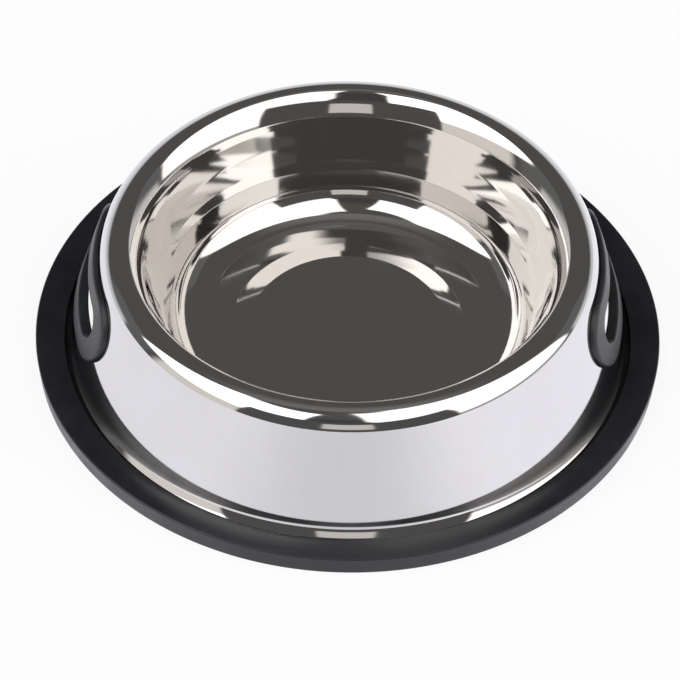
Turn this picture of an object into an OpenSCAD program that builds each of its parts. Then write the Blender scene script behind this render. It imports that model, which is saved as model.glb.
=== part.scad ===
// Non-tip dog bowl: a pressed steel bowl hooked into a conical steel skirt,
// a rubber ring round the skirt's foot and a rubber grommet in each of the
// two finger slots. The origin is on the floor under the centre, +Z is up
// and the finger slots face -X and +X.

/* [Overall] */
// Width across the rubber base ring
base_d = 300; // [270:1:330]
// Height from the floor to the crest of the rim
bowl_h = 70; // [67:0.5:80]
// Thickness of the steel sheet
sheet_t = 0.8; // [0.6:0.1:1]

/* [Rim] */
// Radius of the roll on the food side of the crest
rim_in_r = 4; // [3.4:0.1:4.6]
// Radius of the shoulder on the outer side of the crest
rim_out_r = 12; // [10:0.5:14]
// How far the bowl's lip runs under the shoulder, in degrees past the crest
lip_wrap = 40; // [25:1:50]
// Clearance between the bowl's lip and the roll that hooks over it
seam_gap = 0.1; // [0.05:0.05:0.2]

/* [Skirt] */
// Lean of the skirt from upright, in degrees
skirt_lean = 15.5; // [14:0.5:18]
// Radius of the flare at the foot of the skirt
flare_r = 15; // [12:0.5:16]
// Height of the skirt's foot edge above the floor
foot_h = 4.4; // [4:0.1:6]

/* [Inner bowl] */
// Lean of the neck just under the rim, in degrees
neck_lean = 20; // [16:0.5:24]
// Depth of the neck below the crest
neck_h = 15.8; // [13:0.1:18]
// Lean of the middle wall between the neck and the step, in degrees
wall_lean = 21.8; // [19:0.1:25]
// Outward bulge of the middle wall, as a share of its length
wall_bulge_share = 0.023; // [0.01:0.001:0.04]
// Depth of the step below the crest
step_drop = 33.8; // [32:0.1:35]
// Width of the step
step_w = 2; // [1.4:0.1:3]
// Fall of the step across its width
step_fall = 3.9; // [3.2:0.1:4.6]
// Lean of the lower wall, in degrees
well_lean = 32.4; // [29:0.1:34]
// Outward bulge of the lower wall, as a share of its length
well_bulge_share = 0.066; // [0.04:0.002:0.08]
// Radius between the lower wall and the bottom
corner_r = 15; // [11:0.5:16]
// Height of the bottom's outer edge above the floor
bottom_h = 13; // [11:0.1:14]
// Fall of the bottom from its edge to the foot of the pad
dish = 0.3; // [0.1:0.1:0.6]
// Width across the centre pad
pad_d = 93; // [80:1:96]
// Rise of the centre pad above the bottom round it
pad_rise = 0.7; // [0.4:0.1:1.2]
// Width of the slope round the centre pad
pad_slope_w = 9.5; // [7:0.5:11]

/* [Base ring] */
// Rubber outside the skirt's foot edge
ring_wall = 3.9; // [3.5:0.1:5.5]
// Height of the crease where the ring's outer band meets its top
crease_h = 10.6; // [10:0.1:13]
// Width of the ring's top, from the outer edge to its lip
ring_top_w = 14; // [12:0.1:14.6]
// Height of the crown over the line from crease to lip
ring_crown = 0.7; // [0.4:0.1:1]
// Thickness of the lip on the steel
ring_lip_t = 1; // [0.8:0.1:1.4]
// Inward slope of the outer band over its height
band_draft = 1.2; // [0.6:0.1:2]
// How far the ring's sole reaches inside its lip
sole_w = 2; // [1:0.1:3]

/* [Finger slots] */
// Width of the finger opening
grip_w = 67; // [58:1:72]
// Height of the finger opening
grip_h = 17.4; // [16:0.1:20]
// Width of the grommet's outer flange
flange_w = 93; // [86:1:96]
// Height of the grommet's outer flange
flange_h = 36; // [33:0.5:37]
// How far up its play on the straight skirt the flange sits, 0 low and 1 high
grip_rise_share = 0.81; // [0.5:0.01:1]
// Thickness of the outer flange on the steel
flange_t = 2.6; // [1.8:0.1:3]
// Rubber between the opening and the slot in the steel
neck_t = 2; // [1.6:0.1:2.6]
// How far the inner flange reaches past the slot
keeper_w = 3; // [2:0.1:4]
// Thickness of the inner flange behind the steel
keeper_t = 1.3; // [1.2:0.1:2]

/* [Hidden] */
// Clearance between rubber and steel
seat_gap = 0.2;
// Height and width of the softened edge on a rubber flange
flange_edge = 0.6;
// Pressing radii of the inner bowl
neck_bend_r = 5;
wall_curve_r = 60;
step_bend_r = 2;
well_bend_r = 3;
well_curve_r = 14;
pad_bend_r = 2.5;
pad_foot_r = 5;
// Edge radii of the rubber ring
sole_edge_r = 1.2;
crease_r = 0.9;
lip_edge_r = 0.45;
crown_blend_r = 30;
sole_inner_r = 0.6;
// Largest step along an arc, in degrees
arc_step = 7.5;
$fn = 180;
steel = [0.78, 0.78, 0.8];
rubber = [0.13, 0.13, 0.14];

ring_r = base_d / 2;
foot_r = ring_r - ring_wall;
// Centre of the flare, and where the flare runs into the straight skirt
flare_c = [foot_r, foot_h + flare_r];
skirt_low = flare_c - flare_r * [cos(skirt_lean), sin(skirt_lean)];
// Centre of the shoulder: straight up the skirt's line, then in by the shoulder
shoulder_z = bowl_h - rim_out_r;
skirt_top_z = shoulder_z + rim_out_r * sin(skirt_lean);
skirt_top_r = skirt_low[0] - (skirt_top_z - skirt_low[1]) * tan(skirt_lean);
skirt_top = [skirt_top_r, skirt_top_z];
crest_r = skirt_top_r - rim_out_r * cos(skirt_lean);
skirt_normal = [cos(skirt_lean), sin(skirt_lean)];

// The bowl's lip follows the inside of the roll
lip_gap = sheet_t + seam_gap;
lip_in_r = rim_in_r - lip_gap;
lip_out_r = rim_out_r - lip_gap;
mouth = [crest_r - lip_in_r * cos(neck_lean),
         bowl_h - rim_in_r + lip_in_r * sin(neck_lean)];
neck_low = [mouth[0] - (mouth[1] - bowl_h + neck_h) * tan(neck_lean), bowl_h - neck_h];
step_top = [neck_low[0] - (step_drop - neck_h) * tan(wall_lean), bowl_h - step_drop];
step_low = step_top - [step_w, step_fall];
corner = [step_low[0] - (step_low[1] - bottom_h) * tan(well_lean), bottom_h];
pad_r = pad_d / 2;
pad_foot = [pad_r + pad_slope_w, bottom_h - dish];
pad_top = [pad_r, bottom_h - dish + pad_rise];

// The ring's lip lies on the flare, so its height follows the steel there
lip_r = ring_r - ring_top_w;
lip_top = flare_z(lip_r) + seat_gap + ring_lip_t;
sole_r = lip_r - sole_w;

// Slots in the steel, and the height of their centre
slot_w = grip_w + 2 * neck_t;
slot_h = grip_h + 2 * neck_t;
flange_play = skirt_top_z - skirt_low[1] - flange_h;
grip_z = skirt_low[1] + flange_h / 2 + grip_rise_share * flange_play;

function unit(v) = v / norm(v);

function right_of(v) = [v[1], -v[0]];

// The middle of p and q, moved to the right by a share of the way from p to q
function bulged(p, q, share) = (p + q) / 2 + share * right_of(q - p);

// Height of the flare's top surface at radius r
function flare_z(r) = flare_c[1] - sqrt(flare_r * flare_r - (foot_r - r) * (foot_r - r));

// Points on an arc from angle a0 to angle a1 about centre c
function arc(c, r, a0, a1) =
    let (steps = ceil(abs(a1 - a0) / arc_step))
    [for (i = [0:steps]) c + r * [cos(a0 + (a1 - a0) * i / steps), sin(a0 + (a1 - a0) * i / steps)]];

// The corner at q, between p and s, rounded to radius r
function bend(p, q, s, r) =
    let (u = unit(p - q), w = unit(s - q))
    let (half = acos(u * w) / 2)
    let (c = q + unit(u + w) * r / sin(half))
    let (e0 = q + u * r / tan(half) - c, e1 = q + w * r / tan(half) - c)
    let (a0 = atan2(e0[1], e0[0]), a1 = atan2(e1[1], e1[0]))
    let (sweep = a1 - a0 > 180 ? a1 - a0 - 360 : a1 - a0 < -180 ? a1 - a0 + 360 : a1 - a0)
    arc(c, r, a0, a0 + sweep);

// A closed outline from rows of [point, radius]
function round_loop(rows) =
    let (n = len(rows))
    [for (i = [0:n - 1]) each
        rows[i][1] == 0 ? [rows[i][0]]
        : bend(rows[(i + n - 1) % n][0], rows[i][0], rows[(i + 1) % n][0], rows[i][1])];

// An open path from rows of [point, radius], whose first and last points stay sharp
function round_path(rows) =
    let (n = len(rows))
    [for (i = [0:n - 1]) each
        i == 0 || i == n - 1 || rows[i][1] == 0 ? [rows[i][0]]
        : bend(rows[i - 1][0], rows[i][0], rows[i + 1][0], rows[i][1])];

// The path moved t to its right, with mitred corners
function shifted(path, t) =
    let (n = len(path))
    [for (i = [0:n - 1])
        let (before = right_of(unit(path[max(i, 1)] - path[max(i, 1) - 1])))
        let (after = right_of(unit(path[min(i, n - 2) + 1] - path[min(i, n - 2)])))
        path[i] + (before + after) * t / (1 + before * after)];

function reversed(list) = [for (i = [len(list) - 1:-1:0]) list[i]];

// Outline of a sheet between t0 and t1 to the right of its path
function sheet(path, t0, t1) = concat(shifted(path, t0), reversed(shifted(path, t1)));

// Outer surface of the skirt, from the seam over the crest to the foot edge
function skirt_path() = concat(
    arc([crest_r, bowl_h - rim_in_r], rim_in_r, 180 - neck_lean, 90),
    arc([crest_r, shoulder_z], rim_out_r, 90 - arc_step, skirt_lean),
    arc(flare_c, flare_r, 180 + skirt_lean, 270));

// Food surface of the bowl, from the centre out to the mouth, then its lip
function bowl_path() = concat(
    round_path([
        [[0, pad_top[1]], 0],
        [pad_top, pad_bend_r],
        [pad_foot, pad_foot_r],
        [corner, corner_r],
        [bulged(corner, step_low, well_bulge_share), well_curve_r],
        [step_low, well_bend_r],
        [step_top, step_bend_r],
        [bulged(step_top, neck_low, wall_bulge_share), wall_curve_r],
        [neck_low, neck_bend_r],
        [mouth, 0]]),
    arc([crest_r, bowl_h - rim_in_r], lip_in_r, 180 - neck_lean - arc_step, 90),
    arc([crest_r, shoulder_z], lip_out_r, 90 - arc_step, 90 - lip_wrap));

// Section of the rubber ring before its groove is cut
function ring_outline() = round_loop([
    [[sole_r, 0], sole_inner_r],
    [[ring_r - band_draft, 0], sole_edge_r],
    [[ring_r, crease_h], crease_r],
    [[(ring_r + lip_r) / 2, (crease_h + lip_top) / 2 + ring_crown], crown_blend_r],
    [[lip_r, lip_top], lip_edge_r],
    [[lip_r, flare_z(lip_r) - sheet_t / 2], 0],
    [[sole_r, flare_z(sole_r) - sheet_t], 0]]);

// A slot outline with round ends, lying along Y and cut through along X
module slot_bar(w, h) {
    translate([crest_r, 0, grip_z])
        rotate([90, 0, 90])
            linear_extrude(ring_r - crest_r)
                union() {
                    square([w - h, h], center = true);
                    for (side = [-1, 1])
                        translate([side * (w - h) / 2, 0])
                            circle(d = h);
                }
}

// A layer of the straight skirt, from t0 to t1 outside its surface
module skirt_layer(t0, t1) {
    rotate_extrude()
        polygon([
            skirt_low + t0 * skirt_normal,
            skirt_low + t1 * skirt_normal,
            skirt_top + t1 * skirt_normal,
            skirt_top + t0 * skirt_normal]);
}

module inner_bowl() {
    color(steel)
        rotate_extrude()
            polygon(sheet(bowl_path(), 0, sheet_t));
}

module outer_skirt() {
    color(steel)
        difference() {
            rotate_extrude()
                polygon(sheet(skirt_path(), 0, sheet_t));
            for (side = [0, 1])
                mirror([side, 0, 0])
                    slot_bar(slot_w, slot_h);
        }
}

module base_ring() {
    color(rubber)
        rotate_extrude()
            difference() {
                polygon(ring_outline());
                polygon(sheet(
                    concat(arc(flare_c, flare_r, 180 + skirt_lean, 270), [[foot_r + seat_gap, foot_h]]),
                    -seat_gap, sheet_t + seat_gap));
            }
}

// One grommet on the +X side: flange, neck through the slot and keeper behind
module grip_grommet() {
    behind = sheet_t + seat_gap;
    difference() {
        union() {
            intersection() {
                skirt_layer(seat_gap, flange_t - flange_edge);
                slot_bar(flange_w, flange_h);
            }
            intersection() {
                skirt_layer(seat_gap, flange_t);
                slot_bar(flange_w - 2 * flange_edge, flange_h - 2 * flange_edge);
            }
            intersection() {
                skirt_layer(-behind - keeper_t, flange_t / 2);
                slot_bar(slot_w - 2 * seat_gap, slot_h - 2 * seat_gap);
            }
            intersection() {
                skirt_layer(-behind - keeper_t, -behind);
                slot_bar(slot_w + 2 * keeper_w, slot_h + 2 * keeper_w);
            }
        }
        slot_bar(grip_w, grip_h);
    }
}

module left_grip_grommet() {
    color(rubber)
        mirror([1, 0, 0])
            grip_grommet();
}

module right_grip_grommet() {
    color(rubber)
        grip_grommet();
}

inner_bowl();
outer_skirt();
base_ring();
left_grip_grommet();
right_grip_grommet();
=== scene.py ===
# Looks of a non-tip dog bowl: a mirror-polished steel bowl and skirt, a rubber
# base ring and two rubber finger-slot grommets. Lengths are in metres, in the
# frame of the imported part: the floor is z = 0 and the slots face -X and +X.
import bmesh
import bpy
from math import acos, asin, ceil, cos, degrees, pi, radians, sin, sqrt, tan
from mathutils import Matrix, Vector


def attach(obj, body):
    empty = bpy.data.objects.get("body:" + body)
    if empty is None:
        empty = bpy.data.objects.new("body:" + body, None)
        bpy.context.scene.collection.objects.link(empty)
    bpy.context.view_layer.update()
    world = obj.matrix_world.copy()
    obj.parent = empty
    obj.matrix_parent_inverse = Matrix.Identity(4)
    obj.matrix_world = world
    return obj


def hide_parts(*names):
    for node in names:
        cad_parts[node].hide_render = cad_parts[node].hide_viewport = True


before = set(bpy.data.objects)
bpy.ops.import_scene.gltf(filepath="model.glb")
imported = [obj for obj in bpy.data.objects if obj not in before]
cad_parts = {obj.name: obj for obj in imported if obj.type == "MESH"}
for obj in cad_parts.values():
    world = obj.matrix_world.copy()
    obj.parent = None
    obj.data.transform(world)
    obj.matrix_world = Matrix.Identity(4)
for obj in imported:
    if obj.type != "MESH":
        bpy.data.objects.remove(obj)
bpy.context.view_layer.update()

MM = 0.001

# Fineness of the turned pieces: steps in a full turn, degrees in an arc, lengths of a straight run
TURN_STEPS = 288
ARC_STEP = 2.6
RUN_STEP = 5 * MM
RUN_END = 0.4 * MM
SKIRT_ARC_STEP = 3
CUT_ARC_STEP = 3
GRIP_ARC_STEP = 6
GRIP_RUN_STEP = 3 * MM
MERGE_DIST = 0.001 * MM

# Sizes of the pressed steel
BASE_R = 150 * MM
BOWL_H = 70 * MM
SHEET_T = 0.8 * MM
RIM_IN_R = 4 * MM
RIM_OUT_R = 12 * MM
LIP_WRAP = 40
SEAM_GAP = 0.1 * MM
SKIRT_LEAN = 15.5
FLARE_R = 15 * MM
FOOT_H = 3.2 * MM
MOUTH_LEAN = 46
MOUTH_RUN = 6.8 * MM
NECK_H = 13.6 * MM
NECK_LOW_R = 97.3 * MM
WALL_LEAN = 20.1
WALL_BULGE_SHARE = 0.006
STEP_DROP = 32 * MM
STEP_W = 2.1 * MM
STEP_FALL = 4.4 * MM
WELL_LEAN = 29.2
WELL_BULGE_SHARE = 0.1
CORNER_R = 18 * MM
BOTTOM_H = 13.7 * MM
DISH = 0.2 * MM
PAD_R = 46.7 * MM
PAD_RISE = 1.1 * MM
PAD_SLOPE_W = 9.5 * MM
NECK_BEND_R = 4 * MM
NECK_CURVE_R = 24 * MM
WALL_CURVE_R = 60 * MM
STEP_BEND_R = 1.4 * MM
WELL_BEND_R = 4 * MM
WELL_CURVE_R = 14 * MM
PAD_BEND_R = 2.5 * MM
PAD_FOOT_R = 5 * MM

# Sizes of the rubber ring
RING_WALL = 3.9 * MM
CREASE_H = 10.6 * MM
RING_TOP_W = 14 * MM
RING_CROWN = 0.7 * MM
RING_CROWN_R = 30 * MM
RING_LIP_T = 1.9 * MM
BAND_DRAFT = 1.2 * MM
SOLE_W = 2 * MM
SEAT_GAP = 0.2 * MM
SOLE_EDGE_R = 1.2 * MM
SOLE_INNER_R = 0.6 * MM
CREASE_R = 0.9 * MM
LIP_EDGE_R = 0.45 * MM

# Sizes of the finger slots and their grommets
GRIP_W = 67 * MM
GRIP_H = 17.4 * MM
FLANGE_W = 93 * MM
FLANGE_H = 36 * MM
FLANGE_T = 2.6 * MM
NECK_T = 2 * MM
KEEPER_W = 3 * MM
KEEPER_T = 1.3 * MM
GRIP_RISE_SHARE = 0.81
FACE_EDGE_R = 1.7 * MM
HOLE_EDGE_R = 1.2 * MM

# Places worked out from the sizes
FOOT_R = BASE_R - RING_WALL
FLARE_C = Vector((FOOT_R, FOOT_H + FLARE_R))
SKIRT_OUT = Vector((cos(radians(SKIRT_LEAN)), sin(radians(SKIRT_LEAN))))
SKIRT_LOW = FLARE_C - FLARE_R * SKIRT_OUT
SHOULDER_Z = BOWL_H - RIM_OUT_R
SKIRT_TOP_Z = SHOULDER_Z + RIM_OUT_R * SKIRT_OUT.y
SKIRT_TOP = Vector((SKIRT_LOW.x - (SKIRT_TOP_Z - SKIRT_LOW.y) * tan(radians(SKIRT_LEAN)), SKIRT_TOP_Z))
CREST_R = SKIRT_TOP.x - RIM_OUT_R * SKIRT_OUT.x
LIP_IN_R = RIM_IN_R - SHEET_T - SEAM_GAP
LIP_C = Vector((CREST_R, BOWL_H - RIM_IN_R))
MOUTH_OUT = Vector((-cos(radians(MOUTH_LEAN)), sin(radians(MOUTH_LEAN))))
MOUTH = LIP_C + LIP_IN_R * MOUTH_OUT
NECK_MID = MOUTH - MOUTH_RUN * Vector((sin(radians(MOUTH_LEAN)), cos(radians(MOUTH_LEAN))))
NECK_LOW = Vector((NECK_LOW_R, BOWL_H - NECK_H))
STEP_TOP = Vector((NECK_LOW.x - (STEP_DROP - NECK_H) * tan(radians(WALL_LEAN)), BOWL_H - STEP_DROP))
STEP_LOW = STEP_TOP - Vector((STEP_W, STEP_FALL))
CORNER = Vector((STEP_LOW.x - (STEP_LOW.y - BOTTOM_H) * tan(radians(WELL_LEAN)), BOTTOM_H))
PAD_FOOT = Vector((PAD_R + PAD_SLOPE_W, BOTTOM_H - DISH))
PAD_TOP = Vector((PAD_R, BOTTOM_H - DISH + PAD_RISE))
LIP_R = BASE_R - RING_TOP_W
SOLE_R = LIP_R - SOLE_W
GRIP_Z = SKIRT_LOW.y + FLANGE_H / 2 + GRIP_RISE_SHARE * (SKIRT_TOP_Z - SKIRT_LOW.y - FLANGE_H)


def bulged(p, q, share):
    """The middle of p and q, moved out to the right by a share of the way between them."""
    return (p + q) / 2 + share * Vector((q.y - p.y, p.x - q.x))


def on_flare(radius, r):
    """Height at radius r of a circle about the flare's centre, on its lower side."""
    return FLARE_C.y - sqrt(radius ** 2 - (FOOT_R - r) ** 2)


class Section:
    """A line in the XZ plane, drawn by extruding and spinning its last point."""

    def __init__(self, x, z):
        self.bm = bmesh.new()
        self.tip = self.bm.verts.new((x, 0, z))

    def here(self):
        return Vector((self.tip.co.x, self.tip.co.z))

    def line(self, to, piece=RUN_STEP, end=RUN_END):
        """A straight run in pieces, with a short one at each end that keeps the bends beside it crisp."""
        start = self.here()
        length = (to - start).length
        first = end / length if length > 3 * end else 0
        steps = max(1, ceil(length / piece - 0.01))
        shares = [first + (1 - 2 * first) * i / steps for i in range(steps + 1)] + [1]
        for share in shares[0 if first else 1:None if first else -1]:
            self.tip = bmesh.ops.extrude_vert_indiv(self.bm, verts=[self.tip])["verts"][0]
            at = start.lerp(to, share)
            self.tip.co = (at.x, 0, at.y)
        return self

    def arc(self, centre, sweep, step=ARC_STEP):
        made = bmesh.ops.spin(
            self.bm, geom=[self.tip], cent=(centre.x, 0, centre.y), axis=(0, -1, 0),
            angle=radians(sweep), steps=max(4, ceil(abs(sweep) / step)))
        self.tip = [g for g in made["geom_last"] if isinstance(g, bmesh.types.BMVert)][0]
        return self

    def bend(self, corner, to, radius):
        """A line towards a corner, then an arc of this radius round it, ready to run on."""
        back = (self.here() - corner).normalized()
        on = (to - corner).normalized()
        half = acos(max(-1, min(1, back.dot(on)))) / 2
        centre = corner + (back + on).normalized() * (radius / sin(half))
        first = corner + back * (radius / tan(half))
        turn = degrees(pi - 2 * half)
        left = back.x * on.y - back.y * on.x
        self.line(first)
        return self.arc(centre, turn if left < 0 else -turn)

    def path(self, rows):
        """Straight runs through rows of (point, radius), each corner rounded to its radius."""
        for i, (at, radius) in enumerate(rows):
            if radius and i + 1 < len(rows):
                self.bend(at, rows[i + 1][0], radius)
            else:
                self.line(at)
        return self


def new_object(name, bm):
    mesh = bpy.data.meshes.new(name)
    bm.to_mesh(mesh)
    bm.free()
    piece = bpy.data.objects.new(name, mesh)
    bpy.context.scene.collection.objects.link(piece)
    return piece


def turned(name, section, upward):
    """The section turned about Z. With upward set, the flattest face looks up."""
    bm = section.bm
    bmesh.ops.spin(bm, geom=bm.verts[:] + bm.edges[:], cent=(0, 0, 0), axis=(0, 0, 1),
                   angle=2 * pi, steps=TURN_STEPS, use_merge=True)
    bmesh.ops.remove_doubles(bm, verts=bm.verts, dist=MERGE_DIST)
    bmesh.ops.recalc_face_normals(bm, faces=bm.faces)
    bm.normal_update()
    if upward:
        flattest = max(bm.faces, key=lambda f: abs(f.normal.z))
        if flattest.normal.z < 0:
            bmesh.ops.reverse_faces(bm, faces=bm.faces)
    return new_object(name, bm)


def finished(piece, body="root", node=None, material=None, sharp=40):
    """Applies the piece's modifiers, shades it smooth up to an angle and ties it to the part."""
    bpy.context.view_layer.update()
    shape = piece.evaluated_get(bpy.context.evaluated_depsgraph_get())
    mesh = bpy.data.meshes.new_from_object(shape)
    piece.modifiers.clear()
    piece.data = mesh
    mesh.name = piece.name
    mesh.shade_smooth()
    mesh.set_sharp_from_angle(angle=radians(sharp))
    mesh.materials.clear()
    mesh.materials.append(material)
    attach(piece, body)
    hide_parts(node)
    return piece


def walled(piece):
    """Gives a sheet its thickness on the side away from its faces."""
    wall = piece.modifiers.new("sheet thickness", "SOLIDIFY")
    wall.thickness = SHEET_T
    wall.offset = -1
    wall.use_even_offset = True
    wall.use_quality_normals = True
    return piece


# Shader maths

class Wire:
    """An output socket, or a bare tree to start from. Arithmetic on it adds Math nodes."""

    def __init__(self, tree, socket=None):
        self.tree = tree
        self.socket = socket

    def add(self, kind, settings=None, inputs=None, out=0):
        """A new node with its settings, then the values or links of its sockets; gives one output."""
        node = self.tree.nodes.new(kind)
        for name, value in (settings or {}).items():
            setattr(node, name, value)
        for key, value in (inputs or {}).items():
            if isinstance(value, Wire):
                self.tree.links.new(value.socket, node.inputs[key])
            else:
                node.inputs[key].default_value = value
        return Wire(self.tree, node.outputs[out])

    def math(self, operation, *values):
        return self.add("ShaderNodeMath", {"operation": operation}, dict(enumerate(values)))

    def __add__(self, other):
        return self.math("ADD", self, other)

    def __radd__(self, other):
        return self.math("ADD", other, self)

    def __sub__(self, other):
        return self.math("SUBTRACT", self, other)

    def __rsub__(self, other):
        return self.math("SUBTRACT", other, self)

    def __mul__(self, other):
        return self.math("MULTIPLY", self, other)

    def __rmul__(self, other):
        return self.math("MULTIPLY", other, self)

    def at_most(self, other):
        return self.math("MINIMUM", self, other)

    def at_least(self, other):
        return self.math("MAXIMUM", self, other)

    def ease(self, low, high):
        """0 below low, 1 above high, and a soft step between; high may be the lower of the two."""
        rising = self.add("ShaderNodeMapRange", {"interpolation_type": "SMOOTHSTEP"},
                          {"Value": self, "From Min": min(low, high), "From Max": max(low, high)})
        return rising if high > low else 1 - rising

    def noise(self, scale, detail=2.0, roughness=0.5):
        return self.add("ShaderNodeTexNoise", None,
                        {"Vector": self, "Scale": scale, "Detail": detail, "Roughness": roughness})

    def blend(self, a, b):
        """Colour a where this is 0, colour b where it is 1."""
        return self.add("ShaderNodeMix", {"data_type": "RGBA"}, {0: self, 6: a, 7: b}, 2)


def new_material(name):
    material = bpy.data.materials.new(name)
    material.use_nodes = True
    material.node_tree.nodes.clear()
    return material, Wire(material.node_tree)


def surface(start, shader):
    out = start.tree.nodes.new("ShaderNodeOutputMaterial")
    start.tree.links.new(shader.socket, out.inputs["Surface"])


# Tones of the steel, the rubber and the dust on it
BOWL_TINT = (0.625, 0.615, 0.605)
SKIRT_TINT = (0.62, 0.618, 0.62)
HAZE_SHARE = (0.97, 0.965, 0.955)
RING_DARK, RING_LIGHT = (0.006, 0.007, 0.011), (0.011, 0.012, 0.018)
GROMMET_DARK, GROMMET_LIGHT = (0.010, 0.011, 0.014), (0.015, 0.017, 0.021)
DUST = (0.10, 0.10, 0.11, 1)
PRESSING_RIPPLE = 0.03


def polished_steel(name, tint, ripple):
    """Mirror-polished sheet: faint polishing haze, pressing ripple and fine scratches."""
    material, start = new_material(name)
    place = start.add("ShaderNodeTexCoord", None, None, "Object")
    haze = place.noise(28, 3)
    cloud = place.noise(190, 4, 0.6)
    fine = place.noise(2600, 2)
    wave = place.noise(34, 1.5, 0.4)
    hazed = [part * share for part, share in zip(tint, HAZE_SHARE)]
    colour = (haze * 0.7 + cloud * 0.3).ease(0.3, 0.7).blend((*hazed, 1), (*tint, 1))
    rough = 0.05 + haze.ease(0.45, 0.75) * 0.03 + cloud.ease(0.55, 0.8) * 0.02
    height = wave * ripple + fine * 0.0012
    bump = place.add("ShaderNodeBump", None, {"Strength": 0.35, "Distance": 0.001, "Height": height})
    shader = place.add("ShaderNodeBsdfPrincipled", None,
                       {"Base Color": colour, "Metallic": 1.0, "Roughness": rough, "Normal": bump})
    surface(start, shader)
    return material


def moulded_rubber(name, dark, light, rough_low, rough_high, grain):
    """Black rubber with a fine moulded grain, soft blotches and a little dust."""
    material, start = new_material(name)
    place = start.add("ShaderNodeTexCoord", None, None, "Object")
    blotch = place.noise(45, 3, 0.55)
    speck = place.noise(900, 2, 0.6)
    grit = place.noise(2200, 3, 0.65)
    tone = (blotch * 0.6 + speck * 0.4).ease(0.35, 0.7)
    colour = tone.blend((*dark, 1), (*light, 1))
    dust = speck.ease(0.7, 0.82) * 0.2
    colour = dust.blend(colour, DUST)
    rough = rough_low + blotch.ease(0.3, 0.7) * (rough_high - rough_low) + dust * 0.3
    height = grit * grain + blotch * 0.4
    bump = place.add("ShaderNodeBump", None, {"Strength": 0.5, "Distance": 0.0003, "Height": height})
    shader = place.add("ShaderNodeBsdfPrincipled", None,
                       {"Base Color": colour, "Roughness": rough, "Normal": bump})
    surface(start, shader)
    return material


bowl_steel = polished_steel("bowl steel", BOWL_TINT, PRESSING_RIPPLE)
skirt_steel = polished_steel("skirt steel", SKIRT_TINT, PRESSING_RIPPLE)
ring_rubber = moulded_rubber("ring rubber", RING_DARK, RING_LIGHT, 0.32, 0.44, 0.4)
grommet_rubber = moulded_rubber("grommet rubber", GROMMET_DARK, GROMMET_LIGHT, 0.38, 0.48, 0.3)

# The pressed bowl, from the centre of its pad out over the rim to the lip under the skirt's roll
bowl = Section(0, PAD_TOP.y)
bowl.path([
    (PAD_TOP, PAD_BEND_R),
    (PAD_FOOT, PAD_FOOT_R),
    (CORNER, CORNER_R),
    (bulged(CORNER, STEP_LOW, WELL_BULGE_SHARE), WELL_CURVE_R),
    (STEP_LOW, WELL_BEND_R),
    (STEP_TOP, STEP_BEND_R),
    (bulged(STEP_TOP, NECK_LOW, WALL_BULGE_SHARE), WALL_CURVE_R),
    (NECK_LOW, NECK_BEND_R),
    (NECK_MID, NECK_CURVE_R),
    (MOUTH, 0)])
bowl.arc(LIP_C, MOUTH_LEAN - 90)
bowl.arc(Vector((CREST_R, SHOULDER_Z)), -LIP_WRAP)
inner_bowl = walled(turned("inner_bowl_pressing", bowl, True))
finished(inner_bowl, node="inner_bowl", material=bowl_steel)


def skirt_radius(z, lift):
    """Distance from the axis of a layer that lies lift outside the straight skirt, at height z."""
    return SKIRT_LOW.x - (z - SKIRT_LOW.y) * tan(radians(SKIRT_LEAN)) + lift / cos(radians(SKIRT_LEAN))


def stadium(width, height, piece, step):
    """A closed outline with round ends, lying along X in the XZ plane round the origin."""
    half, radius = (width - height) / 2, height / 2
    outline = Section(half, -radius)
    outline.arc(Vector((half, 0)), 180, step)
    outline.line(Vector((-half, radius)), piece, 0)
    outline.arc(Vector((-half, 0)), 180, step)
    outline.line(Vector((half, -radius)), piece, 0)
    bmesh.ops.remove_doubles(outline.bm, verts=outline.bm.verts, dist=MERGE_DIST)
    return outline.bm


def slot_cutter(width, height):
    """A bar with round ends along X, as wide and high as the slot, to cut both sides at once."""
    bm = stadium(width, height, width, CUT_ARC_STEP)
    bmesh.ops.edgeloop_fill(bm, edges=bm.edges)
    bmesh.ops.rotate(bm, verts=bm.verts, cent=(0, 0, 0), matrix=Matrix.Rotation(pi / 2, 3, "Z"))
    bmesh.ops.translate(bm, verts=bm.verts, vec=(-BASE_R, 0, GRIP_Z))
    made = bmesh.ops.extrude_face_region(bm, geom=bm.faces[:], use_keep_orig=True)["geom"]
    far_end = [g for g in made if isinstance(g, bmesh.types.BMVert)]
    bmesh.ops.translate(bm, verts=far_end, vec=(2 * BASE_R, 0, 0))
    bmesh.ops.recalc_face_normals(bm, faces=bm.faces)
    return new_object("slot_cutter", bm)


skirt = Section(*(LIP_C + RIM_IN_R * MOUTH_OUT))
skirt.arc(LIP_C, MOUTH_LEAN - 90)
skirt.arc(Vector((CREST_R, SHOULDER_Z)), SKIRT_LEAN - 90, SKIRT_ARC_STEP)
skirt.line(SKIRT_LOW)
skirt.arc(FLARE_C, 90 - SKIRT_LEAN)
outer_skirt = walled(turned("outer_skirt_pressing", skirt, True))
cutter = slot_cutter(GRIP_W + 2 * NECK_T, GRIP_H + 2 * NECK_T)
punch = outer_skirt.modifiers.new("finger slots", "BOOLEAN")
punch.object = cutter
punch.operation = "DIFFERENCE"
punch.solver = "EXACT"
finished(outer_skirt, node="outer_skirt", material=skirt_steel)
bpy.data.objects.remove(cutter)

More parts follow.
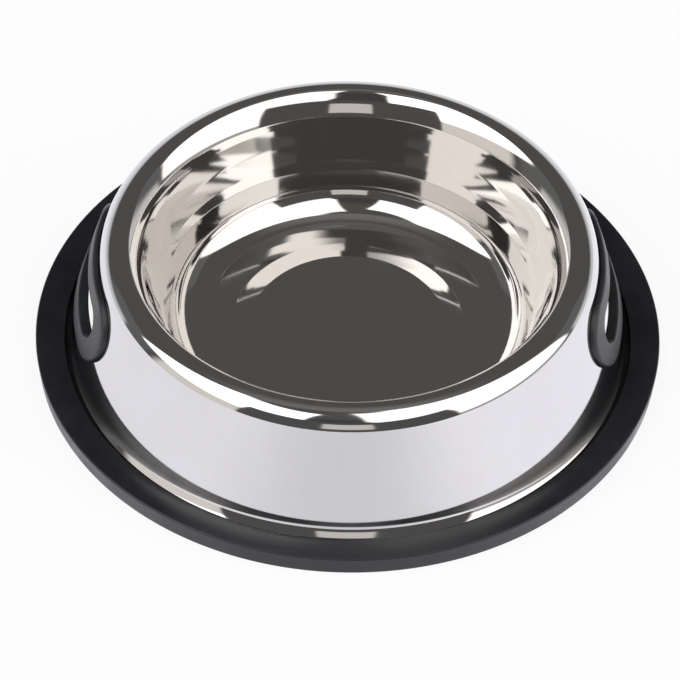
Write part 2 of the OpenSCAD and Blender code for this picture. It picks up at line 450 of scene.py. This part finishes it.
# The rubber ring, with the groove that takes the skirt's foot
groove_top = FLARE_R - SEAT_GAP
groove_low = FLARE_R + SHEET_T + SEAT_GAP
lip_top = on_flare(FLARE_R, LIP_R) + SEAT_GAP + RING_LIP_T
ring = Section(LIP_R, on_flare(groove_top, LIP_R))
ring.path([
    (Vector((LIP_R, lip_top)), LIP_EDGE_R),
    (Vector(((BASE_R + LIP_R) / 2, (CREASE_H + lip_top) / 2 + RING_CROWN)), RING_CROWN_R),
    (Vector((BASE_R, CREASE_H)), CREASE_R),
    (Vector((BASE_R - BAND_DRAFT, 0)), SOLE_EDGE_R),
    (Vector((SOLE_R, 0)), SOLE_INNER_R),
    (Vector((SOLE_R, on_flare(groove_low, SOLE_R))), 0)])
ring.arc(FLARE_C, degrees(asin((FOOT_R - SOLE_R) / groove_low)))
ring.line(Vector((FOOT_R + SEAT_GAP, FLARE_C.y - groove_low)))
ring.line(Vector((FOOT_R + SEAT_GAP, FLARE_C.y - groove_top)))
ring.line(Vector((FOOT_R, FLARE_C.y - groove_top)))
ring.arc(FLARE_C, -degrees(asin((FOOT_R - LIP_R) / groove_top)))
base_ring = turned("base_ring_moulding", ring, False)
finished(base_ring, node="base_ring", material=ring_rubber, sharp=50)


def rounded(width, height, lift, radius, first, last, steps=5):
    """Loops (width, height, lift) round an edge whose centre lies at this size and lift."""
    loops = []
    for i in range(steps + 1):
        a = radians(first + (last - first) * i / steps)
        loops.append((width + 2 * radius * cos(a), height + 2 * radius * cos(a), lift + radius * sin(a)))
    return loops


def grommet(name, side):
    """Flange, neck and keeper round a slot: one closed section carried round it, then laid on the cone."""
    slot_w, slot_h = GRIP_W + 2 * NECK_T, GRIP_H + 2 * NECK_T
    behind = SHEET_T + SEAT_GAP
    inner = (GRIP_W + 2 * HOLE_EDGE_R, GRIP_H + 2 * HOLE_EDGE_R)
    outer = (FLANGE_W - 2 * FACE_EDGE_R, FLANGE_H - 2 * FACE_EDGE_R)
    loops = [(GRIP_W, GRIP_H, -behind - KEEPER_T), (GRIP_W, GRIP_H, 0)]
    loops += rounded(*inner, FLANGE_T - HOLE_EDGE_R, HOLE_EDGE_R, 180, 90)
    for share in (0.25, 0.5, 0.75):
        loops.append(tuple(a + (b - a) * share for a, b in zip((*inner, FLANGE_T), (*outer, FLANGE_T))))
    loops += rounded(*outer, FLANGE_T - FACE_EDGE_R, FACE_EDGE_R, 90, 0)
    loops += [
        (FLANGE_W, FLANGE_H, SEAT_GAP),
        (slot_w - 2 * SEAT_GAP, slot_h - 2 * SEAT_GAP, SEAT_GAP),
        (slot_w - 2 * SEAT_GAP, slot_h - 2 * SEAT_GAP, -behind),
        (slot_w + 2 * KEEPER_W, slot_h + 2 * KEEPER_W, -behind),
        (slot_w + 2 * KEEPER_W, slot_h + 2 * KEEPER_W, -behind - KEEPER_T)]

    width, height, lift = loops[0]
    half, radius = (width - height) / 2, height / 2
    bm = stadium(width, height, GRIP_RUN_STEP, GRIP_ARC_STEP)
    bmesh.ops.translate(bm, verts=bm.verts, vec=(0, lift, 0))
    first = bm.edges[:]
    edges = first
    for width, height, lift in loops[1:]:
        made = bmesh.ops.extrude_edge_only(bm, edges=edges)["geom"]
        edges = [g for g in made if isinstance(g, bmesh.types.BMEdge) and all(v in made for v in g.verts)]
        new_half, new_radius = (width - height) / 2, height / 2
        for v in made:
            if isinstance(v, bmesh.types.BMVert):
                along = max(-half, min(half, v.co.x))
                beyond = (v.co.x - along) * new_radius / radius
                v.co = (along * new_half / half + beyond, lift, v.co.z * new_radius / radius)
        half, radius = new_half, new_radius
    bmesh.ops.bridge_loops(bm, edges=first + edges)
    for v in bm.verts:
        across, lift, z = v.co.x, v.co.y, v.co.z + GRIP_Z
        v.co = (side * sqrt(skirt_radius(z, lift) ** 2 - across ** 2), across, z)
    bmesh.ops.recalc_face_normals(bm, faces=bm.faces)
    # A ring's faces can all come out turned inwards
    if bm.calc_volume(signed=True) < 0:
        bmesh.ops.reverse_faces(bm, faces=bm.faces)
    return new_object(name, bm)


for side, name in ((-1, "left"), (1, "right")):
    finished(grommet(name + "_grip_moulding", side),
             node=name + "_grip_grommet", material=grommet_rubber, sharp=35)


# Studio. Headings are in degrees: 0 lies behind the bowl, 90 on its right, -90 on its left and 180 at
# the camera. A rise is a height above the horizon, in degrees too.

def rays(tree, *kinds):
    """1 for rays of these kinds, else 0."""
    path = tree.nodes.new("ShaderNodeLightPath")
    found = [Wire(tree, path.outputs["Is " + kind + " Ray"]) for kind in kinds]
    for kind in found[1:]:
        found[0] = found[0].at_least(kind)
    return found[0]


def split(vector):
    """The three parts of a vector."""
    node = vector.add("ShaderNodeSeparateXYZ", None, {0: vector}).socket.node
    return [Wire(vector.tree, output) for output in node.outputs]


def heading_of(x, y):
    """Heading of a direction or place seen from the bowl, in degrees."""
    return x.math("ARCTAN2", x, y) * (180 / pi)


# The floor is white to the camera. To the steel it glows with painted light, brighter beside the bowl and
# most of all on the right.
FLOOR_TO_CAMERA = (0.99, 0.99, 1, 1)
FLOOR_TO_STEEL = (0.975, 0.963, 1.03, 1)
GLOW_TO_CAMERA = 0.9
GLOW_TO_STEEL, PAINTED_LIGHT_BESIDE, PAINTED_LIGHT_ON_RIGHT = 0.89, 0.22, 0.10
SHADOW_SHARE = (0.10, 0.10, 0.10, 1)
FLOOR_GREY = (0.8, 0.8, 0.8, 1)
FLOOR_HALF = 6
floor_bm = bmesh.new()
bmesh.ops.create_grid(floor_bm, x_segments=1, y_segments=1, size=FLOOR_HALF)
floor = new_object("floor", floor_bm)
floor_look, start = new_material("floor")
floor_x, floor_y = split(start.add("ShaderNodeTexCoord", None, None, "Object"))[:2]
floor_turn = heading_of(floor_x, floor_y)
floor_off_back = floor_turn.math("ABSOLUTE", floor_turn)
# Painted light on the floor as the steel sees it: a brighter glow beside the bowl, and more on the right
beside = floor_off_back.ease(20, 60) * floor_off_back.ease(174, 138)
mirrored = GLOW_TO_STEEL + beside * (PAINTED_LIGHT_BESIDE + floor_turn.ease(-30, 30) * PAINTED_LIGHT_ON_RIGHT)
to_camera = rays(start.tree, "Camera", "Transmission")
strength = to_camera * GLOW_TO_CAMERA + (1 - to_camera) * mirrored
faint = start.add("ShaderNodeBsdfDiffuse", None, {"Color": SHADOW_SHARE})
shade = to_camera.blend(FLOOR_TO_STEEL, FLOOR_TO_CAMERA)
glow = start.add("ShaderNodeEmission", None, {"Color": shade, "Strength": strength})
white = start.add("ShaderNodeAddShader", None, {0: faint, 1: glow})
lit = start.add("ShaderNodeBsdfDiffuse", None, {"Color": FLOOR_GREY})
seen = rays(start.tree, "Camera", "Glossy", "Transmission")
surface(start, start.add("ShaderNodeMixShader", None, {0: seen, 1: lit, 2: white}))
floor.data.materials.append(floor_look)


# The room that the steel mirrors and that lights the object: a dark ceiling, two soft boxes, pale fills
# under them, a pale backdrop and a window in front
CEILING = (0.113, 0.108, 0.104, 1)
CEILING_BEHIND = (0.223, 0.218, 0.214, 1)
SIDE_GAP = (0.166, 0.166, 0.166)
ABOVE_CAMERA = (0.075, 0.073, 0.073)
LEFT_FILL = (0.98, 0.92, 0.86)
RIGHT_FILL = (0.5, 0.49, 0.475)
LEFT_BOX = (2.75, 2.70, 2.64)
RIGHT_BOX = (1.98, 1.90, 1.81)
BACKDROP = (0.8, 0.8, 0.8)
FRONT_DARK = (0.11, 0.107, 0.106)
WINDOW = (0.8, 0.76, 0.73)
# The left box's lower edge: its rise at the end away from the camera, how far left of straight behind it
# starts to fall towards the camera, for how many degrees, and by how much for each of them
LEFT_EDGE, LEFT_EDGE_FROM, LEFT_EDGE_RUN, LEFT_EDGE_FALL = 27.7, 79.4, 80.7, 0.0892
# The right box's end at the camera: its heading, the rise below which it draws back, and by how much for
# each degree
RIGHT_END, RIGHT_END_RISE, RIGHT_END_SLOPE = 171.2, 45, 0.873

world = bpy.data.worlds.new("studio")
bpy.context.scene.world = world
world.use_nodes = True
world.node_tree.nodes.clear()
sky = Wire(world.node_tree)
away_x, away_y, up = split(sky.add("ShaderNodeTexCoord", None, None, 0))
turn = heading_of(away_x, away_y)
off_back = turn.math("ABSOLUTE", turn)
off_camera = 180 - off_back
rise = up.math("ARCSINE", up) * (180 / pi)


def layer(room, patch, colour):
    """The room with this colour where the patch is 1."""
    return patch.blend(room, (*colour, 1))


room = (rise.ease(60, 78) * off_back.ease(110, 60)).blend(CEILING, CEILING_BEHIND)
room = layer(room, off_back.ease(53, 57) * off_back.ease(92, 88) * rise.ease(37, 33), SIDE_GAP)
room = layer(room, off_back.ease(150, 158) * rise.ease(9, 14) * rise.ease(60, 50), ABOVE_CAMERA)
room = layer(room, turn.ease(-147, -141) * turn.ease(-92, -98) * rise.ease(32, 27), LEFT_FILL)
room = layer(room, turn.ease(75, 90) * turn.ease(150, 140) * rise.ease(9, 6), RIGHT_FILL)
left_low = LEFT_EDGE + (turn + LEFT_EDGE_FROM).at_most(0).at_least(-LEFT_EDGE_RUN) * LEFT_EDGE_FALL
left_across = turn.ease(-161.5, -158.5) * turn.ease(-78, -81)
room = layer(room, left_across * (rise - left_low).ease(-1.5, 1.5) * rise.ease(74, 70), LEFT_BOX)
right_end = RIGHT_END - (RIGHT_END_RISE - rise).at_least(0).at_most(RIGHT_END_RISE) * RIGHT_END_SLOPE
right_across = turn.ease(77, 80) * (turn - right_end).ease(1.5, -1.5)
room = layer(room, right_across * rise.ease(6, 9) * rise.ease(85, 81), RIGHT_BOX)
room = layer(room, off_back.ease(77, 73) * rise.ease(16, 5), BACKDROP)
room = layer(room, off_camera.ease(46, 44) * rise.ease(41, 39), FRONT_DARK)
room = layer(room, off_camera.ease(11.2, 9.8) * rise.ease(10, 11.4) * rise.ease(33, 31.6), WINDOW)

# The camera sees plain white behind the object
studio = sky.add("ShaderNodeBackground", None, {"Color": room, "Strength": 1.0})
plain = sky.add("ShaderNodeBackground", None, {"Color": (1, 1, 1, 1), "Strength": 1.0})
unmirrored = rays(sky.tree, "Camera", "Transmission")
mixed = sky.add("ShaderNodeMixShader", None, {0: unmirrored, 1: studio, 2: plain})
world_out = sky.tree.nodes.new("ShaderNodeOutputWorld")
sky.tree.links.new(mixed.socket, world_out.inputs["Surface"])

# Camera at the photograph's viewing angle, with a long lens; angles are in radians
FOCAL_PX = 6000
FRAME_PX = 680
SENSOR_W = 36
CAMERA_AT = (-0.0319, -2.0320, 2.0564)
camera_data = bpy.data.cameras.new("camera")
camera_data.sensor_width = SENSOR_W
camera_data.sensor_fit = "HORIZONTAL"
camera_data.lens = FOCAL_PX / FRAME_PX * SENSOR_W
camera_data.clip_end = 50
camera = bpy.data.objects.new("camera", camera_data)
pitch, yaw, roll = 0.7904, 0.0139, 0.0204
ahead = Vector((sin(yaw) * cos(pitch), cos(yaw) * cos(pitch), -sin(pitch)))
level_right = Vector((cos(yaw), -sin(yaw), 0))
overhead = level_right.cross(ahead)
right = level_right * cos(roll) + overhead * sin(roll)
top = overhead * cos(roll) - level_right * sin(roll)
axes = Matrix((right, top, -ahead)).transposed().to_4x4()
camera.matrix_world = Matrix.Translation(CAMERA_AT) @ axes
bpy.context.scene.collection.objects.link(camera)
bpy.context.scene.camera = camera
bpy.context.scene.view_settings.view_transform = "Standard"
